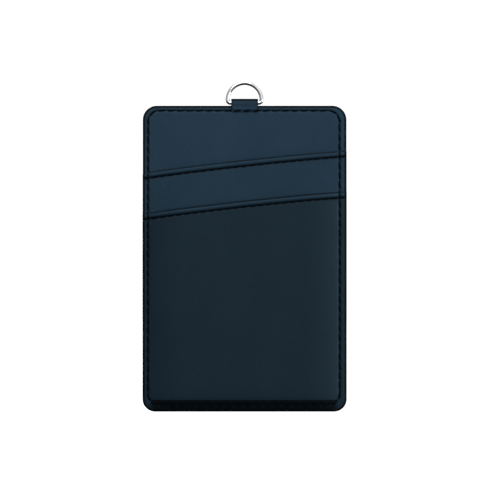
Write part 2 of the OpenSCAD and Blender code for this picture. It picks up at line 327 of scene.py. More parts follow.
class Panel:
    """A leather sheet with a front, a thickness and an outward direction (-1 slot side, 1 window side)."""

    def __init__(self, outward, margin_y, field, mouth, phase, tone,
                 shoulder=12.0, window=False, behind=None):
        self.outward, self.margin_y, self.field, self.mouth = outward, margin_y, field, mouth
        self.phase, self.tone, self.shoulder, self.window = phase, tone, shoulder, window
        self.behind = behind    # the mouth of the pocket that lies on this one

    def rise(self, x, z):
        return rise(x, z, self.shoulder)

    def below(self, x, z):
        return self.mouth(x) - z

    def height(self, x, z):
        inner = self.rise(x, z)
        h = self.field * inner + border(x, z)
        h = h + sway(x, z, self.phase) * inner - SETTLE * inner
        h = h - FOOT_DROP * foot_round(z) * inner * self.field / 2
        if self.behind:
            h = h - rubbed(x, z, self.behind) * inner
        if self.mouth:
            h = h + mouth_relief(x, self.below(x, z)) * smooth(EDGE.depth(x, z) / 0.8)
        if self.window:
            out = -WINDOW.depth(x, z)
            h = h - groove(out - MOUTH_SEAM, WINDOW_SEAM.station(x, z), WINDOW_PITCH)
            h = h - WINDOW_ROLL * (1 - np.clip(out / WINDOW_ROLL_W, 0, 1)) ** 2
        return h

    def face(self, x, z):
        """The y of the sheet's outer face."""
        return self.margin_y + self.outward * self.height(x, z)

    def depth(self, x, z):
        """Distance inside the sheet's own edges."""
        d = EDGE.depth(x, z)
        if self.mouth:
            d = np.minimum(d, self.below(x, z))
        if self.window:
            d = np.minimum(d, -WINDOW.depth(x, z))
        return d

    def shade_and_edge_paint(self, x, z):
        """1 where the colour is darkened: edge paint and painted shade at its edges, painted shade along its
        seams, its mouths and over the foot band.
        """
        # edge paint and painted shade along the outer edge; painted shade in the outer seam's pressed line
        darker = np.maximum(rim(EDGE.depth(x, z), RIM), groove_shade(SEAM.depth(x, z), SEAM_CREASE, SEAM_DARK))
        if self.mouth:
            # painted shade along a mouth's rim and in its seam's pressed line
            darker = np.maximum(darker, MOUTH_DARK * rim(self.below(x, z), MOUTH_RIM))
            darker = np.maximum(darker, groove_shade(self.below(x, z) - MOUTH_SEAM, MOUTH_CREASE))
            line = WINDOW_FOOT_LINE if self.window else FOOT_LINE
            # the foot band's painted shade ends softly where the side seams cross it
            foot = smooth((FOOT - z) / line) * smooth((SEAM.depth(x, z + FOOT) + 0.5) / 3)
            darker = np.maximum(darker, foot)
        if self.window:
            out = -WINDOW.depth(x, z)
            # the window's dark rim (edge paint and painted shade) and painted shade in its seam's pressed
            # line
            darker = np.maximum(darker, WINDOW_DARK * rim(out, MOUTH_RIM))
            darker = np.maximum(darker, groove_shade(out - MOUTH_SEAM, SEAM_CREASE))
        if self.behind:
            # a painted contact shadow just above the mouth of the pocket that lies on this sheet
            above = z - self.behind(x)
            darker = np.maximum(darker, CONTACT_SHADOW_DARK * rim(np.abs(above), CONTACT_SHADOW))
        return darker

    def tones(self, x, z):
        """The sheet's painted shade level, standing for the light's fall-off towards the bottom; the folded
        lip above a mouth's seam gets less, a painted highlight.
        """
        if not self.mouth:
            return self.tone + 0 * x
        # a painted highlight on the folded lip above the mouth's seam
        lip = smooth((MOUTH_SEAM - self.below(x, z)) / 0.5)
        return self.tone * (1 - LIP_LIGHT * lip)

    def thickness(self, x, z):
        if not self.mouth:
            return PLY + 0 * x
        hem = smooth(HEM_H - self.below(x, z))
        return PLY + HEM * hem * self.rise(x, z)


class SlotPanel(Panel):
    """The core's slot side panel. Its relief shows only above the upper mouth, and its edge is turned in."""

    def height(self, x, z):
        shown = smooth((z - slanted(UPPER_MOUTH)(x) + LAID) / (2 * LAID))
        inner = self.rise(x, z)
        laid = sway(x, z, self.phase, 0.04) - rubbed(x, z, slanted(UPPER_MOUTH))
        return (border(x, z) + laid * inner) * shown

    def thickness(self, x, z):
        turned = smooth((TURNED_W + 0.1 - EDGE.depth(x, z)) / 0.2)
        in_tab = smooth((TAB_HALF_W + 0.4 - np.abs(x)) / 0.2) * (z > HEIGHT / 2)
        return PLY + PLY * turned * (1 - in_tab)


class BackPanel(Panel):
    """The core's window side panel. Its relief shows only above the ID pocket's mouth."""

    def height(self, x, z):
        shown = smooth((z - WINDOW_MOUTH + LAID) / (2 * LAID))
        return (border(x, z) + sway(x, z, self.phase, 0.04) * self.rise(x, z)) * shown


UPPER_MARGIN = SLOT_Y - PLY
LOWER_MARGIN = UPPER_MARGIN - PLY
WINDOW_MARGIN = BACK_Y + PLY

# each sheet's sixth argument is its painted shade level: painted shade for the light's fall-off towards the
# bottom, darkest on the lower pocket
slot_sheet = SlotPanel(-1, SLOT_Y, 0, None, 0.3, 0.05, behind=slanted(UPPER_MOUTH))
back_sheet = BackPanel(1, BACK_Y, 0, None, 4.1, 0.1, behind=level(WINDOW_MOUTH))
upper_sheet = Panel(-1, UPPER_MARGIN, UPPER_MARGIN - UPPER_Y, slanted(UPPER_MOUTH), 1.2, 0.22,
                    behind=slanted(LOWER_MOUTH))
lower_sheet = Panel(-1, LOWER_MARGIN, LOWER_MARGIN - LOWER_Y, slanted(LOWER_MOUTH), 2.6, 0.88)
window_sheet = Panel(1, WINDOW_MARGIN, WINDOW_Y - WINDOW_MARGIN, level(WINDOW_MOUTH), 3.3, 0.5,
                     shoulder=6.0, window=True)


# ---------------------------------------------------------------------------
# Materials
# ---------------------------------------------------------------------------

class Nodes:
    """A material's node tree, with short calls for the nodes used here."""

    def __init__(self, name):
        self.material = bpy.data.materials.new(name)
        self.material.use_nodes = True
        self.tree = self.material.node_tree
        self.shader = self.tree.nodes["Principled BSDF"]
        self.place = self.tree.nodes.new("ShaderNodeTexCoord").outputs["Object"]

    def put(self, **values):
        """Sets the shader's own sockets."""
        for key, value in values.items():
            self.shader.inputs[key.replace("_", " ")].default_value = value

    def link(self, a, b):
        self.tree.links.new(a, b)

    def noise(self, scale, detail=3.0, rough=0.5, place=None):
        n = self.tree.nodes.new("ShaderNodeTexNoise")
        n.inputs["Scale"].default_value = scale
        n.inputs["Detail"].default_value = detail
        n.inputs["Roughness"].default_value = rough
        self.link(place or self.place, n.inputs["Vector"])
        return n.outputs["Fac"]

    def cells(self, scale):
        n = self.tree.nodes.new("ShaderNodeTexVoronoi")
        n.feature = "DISTANCE_TO_EDGE"
        n.inputs["Scale"].default_value = scale
        self.link(self.place, n.inputs["Vector"])
        return n.outputs["Distance"]

    def stripes(self, scale, axis, distortion):
        n = self.tree.nodes.new("ShaderNodeTexWave")
        n.bands_direction = axis
        n.inputs["Scale"].default_value = scale
        n.inputs["Distortion"].default_value = distortion
        self.link(self.place, n.inputs["Vector"])
        return n.outputs["Fac"]

    def stretched(self, x, y, z):
        n = self.tree.nodes.new("ShaderNodeMapping")
        n.inputs["Scale"].default_value = (x, y, z)
        self.link(self.place, n.inputs["Vector"])
        return n.outputs["Vector"]

    def ramp(self, fac, stops):
        n = self.tree.nodes.new("ShaderNodeValToRGB")
        for element, (at, _) in zip(n.color_ramp.elements, (stops[0], stops[-1])):
            element.position = at
        for at, _ in stops[1:-1]:
            n.color_ramp.elements.new(at)
        for element, (_, colour) in zip(n.color_ramp.elements, stops):
            element.color = (*colour, 1)
        self.link(fac, n.inputs["Fac"])
        return n.outputs["Color"]

    def spread(self, fac, low, high):
        """From low to high over the middle of a noise's range."""
        n = self.tree.nodes.new("ShaderNodeMapRange")
        n.inputs["From Min"].default_value = 0.3
        n.inputs["From Max"].default_value = 0.7
        n.inputs["To Min"].default_value = low
        n.inputs["To Max"].default_value = high
        self.link(fac, n.inputs["Value"])
        return n.outputs["Result"]

    def mix(self, fac, a, b):
        n = self.tree.nodes.new("ShaderNodeMix")
        n.data_type = "RGBA"
        self.link(fac, n.inputs["Factor"])
        for socket, value in ((n.inputs[6], a), (n.inputs[7], b)):
            if isinstance(value, tuple):
                socket.default_value = (*value, 1)
            else:
                self.link(value, socket)
        return n.outputs[2]

    def blend(self, fac, a, b):
        """Like mix, but for plain values."""
        n = self.tree.nodes.new("ShaderNodeMix")
        for socket, value in ((n.inputs["Factor"], fac), (n.inputs[2], a), (n.inputs[3], b)):
            self.link(value, socket)
        return n.outputs[0]

    def attribute(self, name):
        n = self.tree.nodes.new("ShaderNodeAttribute")
        n.attribute_name = name
        return n.outputs["Fac"]

    def bump(self, height, strength, distance, under=None):
        n = self.tree.nodes.new("ShaderNodeBump")
        n.inputs["Strength"].default_value = strength
        n.inputs["Distance"].default_value = distance
        self.link(height, n.inputs["Height"])
        if under:
            self.link(under, n.inputs["Normal"])
        return n.outputs["Normal"]

    def colour(self, socket):
        self.link(socket, self.shader.inputs["Base Color"])

    def roughness(self, socket):
        self.link(socket, self.shader.inputs["Roughness"])

    def normal(self, socket):
        self.link(socket, self.shader.inputs["Normal"])


def leather_material():
    """Navy leather. One attribute gives each panel's painted shade for the light's fall-off towards the
    bottom, 0 on the brightest and 1 on the darkest; "edge" is 1 where it is black, from edge paint and
    painted shade.
    """
    m = Nodes("smooth_leather")
    # a lit and a shaded copy of the navy, mixed by each panel's painted shade level
    bright = m.ramp(m.noise(48, 5, 0.6), [(0.3, (0.0135, 0.0316, 0.0545)), (0.7, (0.0165, 0.0376, 0.063))])
    darker = m.ramp(m.noise(55, 5, 0.6), [(0.3, (0.0066, 0.0140, 0.0218)), (0.7, (0.0078, 0.0168, 0.0258))])
    clear = m.mix(m.attribute("tone"), bright, darker)
    pored = m.mix(m.spread(m.noise(2600, 2), 0.0, 0.35), clear, (0.0030, 0.0060, 0.0090))
    # near black where the edge weight holds edge paint and painted shade
    edge = m.attribute("edge")
    m.colour(m.mix(edge, pored, (0.0006, 0.0008, 0.0010)))
    m.roughness(m.blend(edge, m.spread(m.noise(120, 4), 0.36, 0.47), m.spread(m.noise(240, 3), 0.70, 0.84)))
    grain = m.bump(m.cells(1900), 0.28, 0.00006)
    pores = m.bump(m.noise(5200, 3), 0.14, 0.00003, grain)
    m.normal(m.bump(m.noise(150, 3), 0.16, 0.00030, pores))
    m.put(Specular_IOR_Level=0.16, Specular_Tint=(0.5, 0.8, 1.0, 1))
    return m.material


def thread_material():
    m = Nodes("twisted_thread")
    m.colour(m.ramp(m.noise(3500, 3), [(0.3, (0.0003, 0.0009, 0.0016)), (0.75, (0.0010, 0.0029, 0.0050))]))
    m.roughness(m.spread(m.noise(1800, 2), 0.45, 0.65))
    m.normal(m.bump(m.noise(9000, 2, place=m.stretched(1, 0.4, 1)), 0.5, 0.00005))
    m.put(Specular_IOR_Level=0.05, Specular_Tint=(0.3, 0.7, 1.0, 1))
    return m.material


def lining_material():
    m = Nodes("woven_lining")
    warp, weft = m.stripes(380, "X", 0.4), m.stripes(380, "Z", 0.4)
    m.colour(m.mix(weft, (0.004, 0.006, 0.009), (0.011, 0.014, 0.020)))
    m.roughness(m.spread(m.noise(900, 2), 0.7, 0.9))
    m.normal(m.bump(weft, 0.4, 0.00008, m.bump(warp, 0.4, 0.00008)))
    m.put(Sheen_Weight=0.2, Sheen_Roughness=0.5)
    return m.material


def greyboard_material():
    m = Nodes("greyboard")
    fibres = m.noise(700, 5, place=m.stretched(1, 1, 0.2))
    m.colour(m.ramp(fibres, [(0.3, (0.20, 0.185, 0.155)), (0.7, (0.33, 0.31, 0.27))]))
    m.roughness(m.spread(m.noise(300, 3), 0.8, 0.95))
    m.normal(m.bump(fibres, 0.3, 0.0001))
    return m.material


def film_material():
    m = Nodes("clear_film")
    m.roughness(m.spread(m.noise(260, 4), 0.04, 0.13))
    m.colour(m.ramp(m.noise(90, 2), [(0.3, (0.93, 0.95, 0.96)), (0.7, (0.99, 0.99, 0.99))]))
    m.normal(m.bump(m.noise(60, 2), 0.5, 0.0006))
    m.put(Transmission_Weight=1.0, IOR=1.4)
    return m.material


def chrome_material():
    m = Nodes("polished_chrome")
    m.colour(m.ramp(m.noise(400, 3), [(0.3, (0.80, 0.81, 0.83)), (0.7, (0.90, 0.90, 0.91))]))
    m.roughness(m.spread(m.noise(900, 5), 0.04, 0.13))
    m.normal(m.bump(m.noise(2500, 2, place=m.stretched(0.15, 1, 1)), 0.05, 0.00002))
    m.put(Metallic=1.0)
    return m.material


def floor_material():
    m = Nodes("pale_floor")
    m.colour(m.ramp(m.noise(9, 3), [(0.3, (0.86, 0.86, 0.86)), (0.7, (0.90, 0.90, 0.90))]))
    m.roughness(m.spread(m.noise(30, 3), 0.75, 0.9))
    m.put(Specular_IOR_Level=0.1, Emission_Color=(1, 1, 1, 1), Emission_Strength=0.75)
    return m.material


LEATHER = leather_material()
THREAD = thread_material()
LINING = lining_material()
GREYBOARD = greyboard_material()
FILM = film_material()
CHROME = chrome_material()


# ---------------------------------------------------------------------------
# Mesh building
# ---------------------------------------------------------------------------

def piece(name, points, faces, material, node, body="holder", slot="leather", **weights):
    """A finished visual piece: points are (x, y, z) in millimetres, with z above the bottom edge.

    Each further argument is a weight per point, which the material reads as an attribute of that name.
    """
    in_metres = (np.asarray(points, float) + (0, 0, BOTTOM)) * MM
    mesh = bpy.data.meshes.new(name)
    mesh.from_pydata(in_metres.tolist(), [], [list(map(int, f)) for f in faces])
    mesh.validate()
    for attribute, values in weights.items():
        layer = mesh.attributes.new(attribute, "FLOAT", "POINT")
        layer.data.foreach_set("value", np.asarray(values, np.float32))
    mesh.materials.append(material)
    mesh.shade_smooth()
    obj = bpy.data.objects.new(name, mesh)
    bpy.context.scene.collection.objects.link(obj)
    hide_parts(node)
    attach(obj, body)
    return obj


def run(start, end, step):
    """Evenly spaced values from start up to, but not including, end."""
    count = max(1, math.ceil(abs(end - start) / step))
    return np.linspace(start, end, count, endpoint=False)


NEAR_EDGE = np.array([0, 0.03, 0.08, 0.16, 0.27, 0.42, 0.62, 0.85])    # depths of the rows at a sheet's edge
EDGE_R = 0.45          # how far in from its edge a sheet has rounded over
SEAM_ROWS = 1.05       # depth where the evenly spaced rows over a seam start


def side_knots(width):
    """Positions across a sheet, crowded where its edge rolls over and its seam runs."""
    seam_end = 4.6
    near = np.concatenate([NEAR_EDGE, run(SEAM_ROWS, seam_end, 0.16)])
    middle = run(seam_end, width - seam_end, 0.6)
    return np.concatenate([near, middle, width - near[::-1]]) - width / 2


def corner_rows(r, count=30):
    """Heights above a sheet's end where a round corner of radius r is evenly sampled."""
    return r - r * np.cos(np.linspace(0, math.pi / 2, count))


def low_rows():
    """Heights over a pocket's round bottom corners, crowded where its foot band breaks from the field."""
    fold = np.arange(FOOT - 0.4, BOTTOM_R - 0.05, 0.08)
    rows = corner_rows(BOTTOM_R)
    return np.sort(np.concatenate([rows[(rows < fold[0] - 0.04) | (rows >= BOTTOM_R - 0.001)], fold]))


def closed_sheet(sheet, x, z):
    """The y of a sheet's outer and inner side, which meet along the grid's border, and its two weights."""
    depth = np.maximum(sheet.depth(x, z), 0)
    t = sheet.thickness(x, z)
    round_over = np.sqrt(1 - (1 - np.clip(depth / EDGE_R, 0, 1)) ** 2)
    middle = sheet.face(x, z) - sheet.outward * t / 2
    outer = middle + sheet.outward * t / 2 * round_over
    inner = middle - sheet.outward * t / 2 * round_over
    return outer, inner, sheet.shade_and_edge_paint(x, z), sheet.tones(x, z)


def grid_faces(rows, cols, wrap=False):
    """Quads of a grid whose points are numbered row by row."""
    i = np.arange(rows - 1)[:, None] * cols
    if wrap:
        j, k = np.arange(cols), (np.arange(cols) + 1) % cols
    else:
        j, k = np.arange(cols - 1), np.arange(1, cols)
    return np.stack([i + j, i + k, i + cols + k, i + cols + j], axis=-1).reshape(-1, 4)


def sheet_piece(name, node, sheet, x, z):
    """A leather sheet over a plain grid."""
    rows, cols = x.shape
    outer, inner, darker, tone = closed_sheet(sheet, x, z)
    count = rows * cols
    border_mask = np.zeros((rows, cols), bool)
    border_mask[[0, -1], :] = border_mask[:, [0, -1]] = True
    front = np.stack([x, outer, z], axis=-1).reshape(-1, 3)
    back = np.stack([x, inner, z], axis=-1).reshape(-1, 3)
    # both sides share the border's points
    index = np.where(border_mask.ravel(), np.arange(count), 0)
    inside = ~border_mask.ravel()
    index[inside] = count + np.arange(inside.sum())
    faces = grid_faces(rows, cols)
    behind = index[faces][:, ::-1]
    points = np.concatenate([front, back[inside]])
    faces = np.concatenate([faces, behind])
    if sheet.outward > 0:
        faces = faces[:, ::-1]
    edge, tone = (np.concatenate([w.ravel(), w.ravel()[inside]]) for w in (darker, tone))
    return piece(name, points, faces, LEATHER, node, edge=edge, tone=tone)


def rounded_grid(columns, heights, half_widths):
    """A grid whose rows follow the outline's half width at each height."""
    x = columns[None, :] * (half_widths / HALF_W)[:, None]
    return x, np.broadcast_to(heights[:, None], x.shape).copy()


def half_width(z):
    """Half of the holder's width at each height."""
    low = np.clip(BOTTOM_R - z, 0, BOTTOM_R)
    high = np.clip(z - HEIGHT + TOP_R, 0, TOP_R)
    return HALF_W - (BOTTOM_R - np.sqrt(BOTTOM_R**2 - low**2)) - (TOP_R - np.sqrt(TOP_R**2 - high**2))


def shifted(height, up):
    """The height function moved up."""
    return lambda x: height(x) + up


def rows_between(columns, *levels):
    """Rows of heights over the columns. Each level is a height function and the row spacing above it."""
    rows = []
    for (low, step), (high, _) in zip(levels, levels[1:]):
        a, b = low(columns), high(columns)
        for t in run(0, 1, step / np.max(b - a)):
            rows.append(a + t * (b - a))
    return np.array(rows)


COVERED = 2.0          # row spacing where a pocket covers a sheet
SHOWN = 0.6            # where the sheet shows
CRISP = 0.09           # and where another's mouth lies on it


def rows_over(columns, sheet, top):
    """Rows of a sheet from its bottom corners up to a height, crowded where another's mouth lies on it."""
    corner = level(BOTTOM_R)
    if not sheet.behind:
        return rows_between(columns, (corner, 0.1), (shifted(corner, 0.9), SHOWN), (top, None))
    return rows_between(columns, (corner, COVERED), (shifted(sheet.behind, -0.5), CRISP),
                        (shifted(sheet.behind, 1.1), SHOWN), (top, None))


def full_panel(name, node, sheet):
    """One of the core's two panels, finely meshed only above the pocket that covers it."""
    columns = side_knots(2 * HALF_W)
    low, high = corner_rows(BOTTOM_R, 12), HEIGHT - corner_rows(TOP_R)[::-1]
    x_low, z_low = rounded_grid(columns, low, half_width(low))
    x_high, z_high = rounded_grid(columns, high, half_width(high))
    z_middle = rows_over(columns, sheet, level(HEIGHT - TOP_R))
    x_middle = np.broadcast_to(columns, z_middle.shape)
    x, z = np.concatenate([x_low[:-1], x_middle, x_high]), np.concatenate([z_low[:-1], z_middle, z_high])
    return sheet_piece(name, node, sheet, x, z)


def pocket_panel(name, node, sheet):
    """A card pocket, from its round bottom corners up to its slanted mouth."""
    columns = side_knots(2 * HALF_W)
    low = low_rows()
    x_low, z_low = rounded_grid(columns, low, half_width(low))
    near = np.concatenate([NEAR_EDGE, run(SEAM_ROWS, 4.4, 0.16)])[::-1]
    z_middle = rows_over(columns, sheet, shifted(sheet.mouth, -near[0] - 0.1))
    z_mouth = sheet.mouth(columns)[None, :] - near[:, None]
    z_high = np.concatenate([z_middle, z_mouth])
    x_high = np.broadcast_to(columns, z_high.shape)
    x, z = np.concatenate([x_low[:-1], x_high]), np.concatenate([z_low[:-1], z_high])
    return sheet_piece(name, node, sheet, x, z)


def window_panel():
    """The ID pocket's frame: a band from the window's edge out to the holder's edge."""
    top = WINDOW_MOUTH
    outer = Loop(-HALF_W, 0, HALF_W, top, BOTTOM_R, 0.6)
    # the same number of points on each side and corner of both loops
    counts = [84, 22, 130, 22] * 2
    inner_points, outer_points = [], []
    for i, count in enumerate(counts):
        for t in np.linspace(0, 1, count, endpoint=False):
            inner_points.append(WINDOW.point(WINDOW.starts[i] + t * WINDOW.lengths[i])[:2])
            outer_points.append(outer.point(outer.starts[i] + t * outer.lengths[i])[:2])
    a, b = np.array(inner_points), np.array(outer_points)
    band = 12.0    # a length that stands for the band's width, whatever it is at each place
    inner_end, outer_end = 3.4, 4.6    # how far the two seams' close rows reach
    near_in = np.concatenate([NEAR_EDGE, run(SEAM_ROWS, inner_end, 0.16)])
    near_out = np.concatenate([NEAR_EDGE, run(SEAM_ROWS, outer_end, 0.18)])
    between = run(inner_end, band - outer_end, 0.8)
    share = np.concatenate([near_in, between, band - near_out[::-1]]) / band
    x = a[None, :, 0] + share[:, None] * (b - a)[None, :, 0]
    z = a[None, :, 1] + share[:, None] * (b - a)[None, :, 1]
    rows, cols = x.shape
    out, into, darker, tone = closed_sheet(window_sheet, x, z)
    front = np.stack([x, out, z], axis=-1).reshape(-1, 3)
    back = np.stack([x, into, z], axis=-1)[1:-1].reshape(-1, 3)
    count = rows * cols
    index = np.arange(count)
    index[cols:-cols] = count + np.arange(count - 2 * cols)
    faces = grid_faces(rows, cols, wrap=True)
    faces = np.concatenate([faces, index[faces][:, ::-1]])
    edge, tone = (np.concatenate([w.ravel(), w[1:-1].ravel()]) for w in (darker, tone))
    return piece("window_frame_leather", np.concatenate([front, back]), faces, LEATHER, "window_pocket",
                 edge=edge, tone=tone)


def swept(path, across, radii, ring):
    """Points and faces of a tube. The ring's two columns lie along across and the third way."""
    path, across = np.asarray(path, float), np.asarray(across, float)
    ahead = np.gradient(path, axis=0)
    ahead /= np.linalg.norm(ahead, axis=1, keepdims=True)
    third = np.cross(ahead, across)
    ring = np.asarray(ring, float)
    scale = np.asarray(radii, float).reshape(-1, 1, 1)
    section = ring[None, :, :1] * across[:, None] + ring[None, :, 1:] * third[:, None]
    points = path[:, None] + scale * section
    n, m = points.shape[:2]
    faces = [tuple(f) for f in grid_faces(n, m, wrap=True)]
    faces += [tuple(range(m))[::-1], tuple(range((n - 1) * m, n * m))]
    return points.reshape(-1, 3), faces


def arc(x, z, r, first, last, count):
    """Points on a circle round x, z, between two angles in degrees."""
    angles = np.radians(np.linspace(first, last, count))
    return [(x + r * math.cos(a), z + r * math.sin(a)) for a in angles]


def circle(count):
    a = np.linspace(0, 2 * math.pi, count, endpoint=False)
    return np.stack([np.cos(a), np.sin(a)], axis=-1)


# ---------------------------------------------------------------------------
# Stitches
# ---------------------------------------------------------------------------

STITCH_RINGS = 11
STITCH_SIDES = 10
SLANT = math.radians(7)    # how far each stitch is turned off its seam
STITCH_LIFT, STITCH_DIVE = 0.15, 0.42    # how far a stitch's middle stands up, and its ends go down from that
STITCH_TAPER = 0.35    # how much thinner its ends are
PLY_DEPTH, PLY_TURNS = 0.13, 5.5         # how deep the groove between its plies is, and how they wind
SEAM_SHARE, MOUTH_SHARE = 0.84, 0.86     # a stitch's length as a share of the pitch


def stitch(centre, direction, length, surface, outward):
    """One twisted stitch whose two ends dive into their needle holes."""
    t = np.linspace(-1, 1, STITCH_RINGS)
    dx, dz = direction
    cx = dx * math.cos(SLANT) - dz * math.sin(SLANT)
    cz = dz * math.cos(SLANT) + dx * math.sin(SLANT)
    x = centre[0] + cx * t * length / 2
    z = centre[1] + cz * t * length / 2
    base = surface(x, z)
    settled = np.convolve(np.pad(base, 2, mode="edge"), np.ones(5) / 5, mode="valid")
    y = settled + outward * (STITCH_LIFT - STITCH_DIVE * np.abs(t) ** 5)
    path = np.stack([x, y, z], axis=-1)
    across = np.tile([-cz, 0.0, cx], (STITCH_RINGS, 1))
    a = np.linspace(0, 2 * math.pi, STITCH_SIDES, endpoint=False)
    swell = 1 - STITCH_TAPER * np.abs(t) ** 3
    points, faces = swept(path, across, THREAD_R * swell, circle(STITCH_SIDES))
    # two plies wound round each other
    plies = 1 + PLY_DEPTH * np.cos(2 * a[None, :] - PLY_TURNS * t[:, None])
    centre_line = np.repeat(path, STITCH_SIDES, axis=0)
    points = centre_line + (points - centre_line) * plies.reshape(-1, 1)
    return points, faces


def stitches(name, node, rows):
    """Every stitch of a seam as one piece. rows are (centre, direction, length, surface, outward)."""
    points, faces, base = [], [], 0
    for row in rows:
        p, f = stitch(*row)
        points.append(p)
        faces += [tuple(np.array(q) + base) for q in f]
        base += len(p)
    return piece(name, np.concatenate(points), faces, THREAD, node, slot="thread")


def loop_rows(loop, pitch, surface, outward):
    rows = []
    for i in range(round(loop.length / pitch)):
        x, z, dx, dz = loop.point((i + 0.5) * pitch)
        rows.append(((x, z), (dx, dz), SEAM_SHARE * pitch, surface, outward))
    return rows


def mouth_rows(mouth, surface, outward):
    rows = []
    for i in range(round(MOUTH_SPAN / MOUTH_PITCH)):
        x = (i + 0.5) * MOUTH_PITCH - MOUTH_SPAN / 2
        slope = mouth(x + 0.5) - mouth(x - 0.5)
        norm = math.hypot(1, slope)
        centre, direction = (x, mouth(x) - MOUTH_SEAM), (1 / norm, slope / norm)
        rows.append((centre, direction, MOUTH_SHARE * MOUTH_PITCH, surface, outward))
    return rows


BACKED_BY = 0.2        # how far below a mouth its pocket surely lies under a stitch
TAB_GAP = 0.02         # room between the tab and the panel it lies on
TAB_FRONT = SLOT_Y - TAB_T - TAB_GAP
TAB_END = SEAM.top - 0.4
TAB_DIP, TAB_DIP_W = 0.2, 0.4    # how far, and over what half width, the seam presses the tab in


def tab_dip(z):
    """How far the seam presses the tab's front ply in."""
    return TAB_DIP * np.exp(-((z - SEAM.top) / TAB_DIP_W) ** 2)


def slot_side(x, z):
    """The outermost face on the slot side."""
    y = slot_sheet.face(x, z)
    for sheet in (upper_sheet, lower_sheet):
        y = np.where(z < sheet.mouth(x) - BACKED_BY, sheet.face(x, z), y)
    on_tab = (np.abs(x) < TAB_HALF_W) & (z > TAB_END)
    return np.where(on_tab, TAB_FRONT + tab_dip(z), y)


def window_side(x, z):
    """The outermost face on the window side."""
    return np.where(z < WINDOW_MOUTH - BACKED_BY, window_sheet.face(x, z), back_sheet.face(x, z))


# ---------------------------------------------------------------------------
# Pieces
# ---------------------------------------------------------------------------

full_panel("slot_panel_leather", "slot_panel", slot_sheet)
full_panel("back_panel_leather", "back_panel", back_sheet)
pocket_panel("upper_pocket_leather", "upper_pocket", upper_sheet)
pocket_panel("lower_pocket_leather", "lower_pocket", lower_sheet)
window_panel()

stitches("perimeter_stitches", "perimeter_stitching",
         loop_rows(SEAM, SEAM_PITCH, slot_side, -1) + loop_rows(SEAM, SEAM_PITCH, window_side, 1))
stitches("upper_mouth_stitches", "upper_pocket_stitching", mouth_rows(upper_sheet.mouth, slot_side, -1))
stitches("lower_mouth_stitches", "lower_pocket_stitching", mouth_rows(lower_sheet.mouth, slot_side, -1))
stitches("window_stitches", "window_stitching", loop_rows(WINDOW_SEAM, WINDOW_PITCH, window_side, 1))
stitches("id_mouth_stitches", "window_mouth_stitching", mouth_rows(window_sheet.mouth, window_side, 1))


SLAB_COLUMNS, FILM_COLUMNS, SLAB_ROWS = 44, 40, 56    # grids of the linings and the film
FILM_SAG, FILM_WAVE = 0.20, 0.11                      # how far the free film lies back, and its waves


def slab(name, node, x, y, z, thick, material, slot):
    """A thin closed sheet from a grid of its outer face. Its thickness is signed, along y."""
    rows, cols = x.shape
    count = rows * cols
    front = np.stack([x, y, z], axis=-1).reshape(-1, 3)
    faces = grid_faces(rows, cols)
    around = np.concatenate([
        np.arange(cols), np.arange(2, rows + 1) * cols - 1,
        np.arange(count - 2, count - cols - 1, -1), np.arange(rows - 2, 0, -1) * cols,
    ])
    onward = np.roll(around, -1)
    walls = np.stack([onward, around, around + count, onward + count], axis=-1)
    if thick < 0:
        faces, walls = faces[:, ::-1], walls[:, [1, 0, 3, 2]]
    faces = np.concatenate([faces, faces[:, ::-1] + count, walls])
    points = np.concatenate([front, front + (0, thick, 0)])
    return piece(name, points, faces, material, node, slot=slot)


def lining(name, node, sheet):
    """The thin fabric bonded behind a card pocket's leather."""
    inset = TURNED_W + 0.2    # just inside the turned edges
    glue = 0.04               # room between the fabric and the leather
    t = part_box(node)[HIGH][Y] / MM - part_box(node)[LOW][Y] / MM
    columns = np.linspace(-HALF_W + inset, HALF_W - inset, SLAB_COLUMNS)
    share = np.linspace(0, 1, SLAB_ROWS)
    x = np.broadcast_to(columns, (len(share), len(columns)))
    z = inset + share[:, None] * (sheet.mouth(x) - 2 * MOUTH_SEAM - inset)
    y = sheet.face(x, z) + sheet.thickness(x, z) + glue
    obj = slab(name, node, x, y, z, t, LINING, "lining")
    drop = sheet.mouth(columns) - 2 * MOUTH_SEAM - inset


lining("upper_lining_fabric", "upper_pocket_lining", upper_sheet)
lining("lower_lining_fabric", "lower_pocket_lining", lower_sheet)


def film():
    """The clear film behind the window, faintly wavy."""
    low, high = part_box("window_film")
    left, right = low[X] / MM, high[X] / MM
    bottom, top = low[Z] / MM - BOTTOM, high[Z] / MM - BOTTOM
    y_out, t = high[Y] / MM, (high[Y] - low[Y]) / MM
    columns, heights = np.linspace(left, right, FILM_COLUMNS), np.linspace(bottom, top, SLAB_ROWS)
    r = WINDOW_R + FILM_LAP
    # rows near the ends are drawn in to round the corners
    from_end = np.minimum(heights - bottom, top - heights)
    draw = r - np.sqrt(np.maximum(r**2 - np.clip(r - from_end, 0, r) ** 2, 0))
    half = (right - left) / 2
    x = columns[None, :] * ((half - draw) / half)[:, None]
    z = np.broadcast_to(heights[:, None], x.shape)
    free = smooth(WINDOW.depth(x, z) / 6.0)
    wave = np.sin(x / 3.4 + 1.3 * np.sin(z / 11)) * np.cos(z / 7.3 + x / 19)
    y = y_out - 0.05 - free * (FILM_SAG + FILM_WAVE * wave)
    y = np.minimum(y, window_sheet.face(x, z) - PLY - 0.03)
    slab("window_film_sheet", "window_film", x, y, z, -t, FILM, "clear_film")


film()


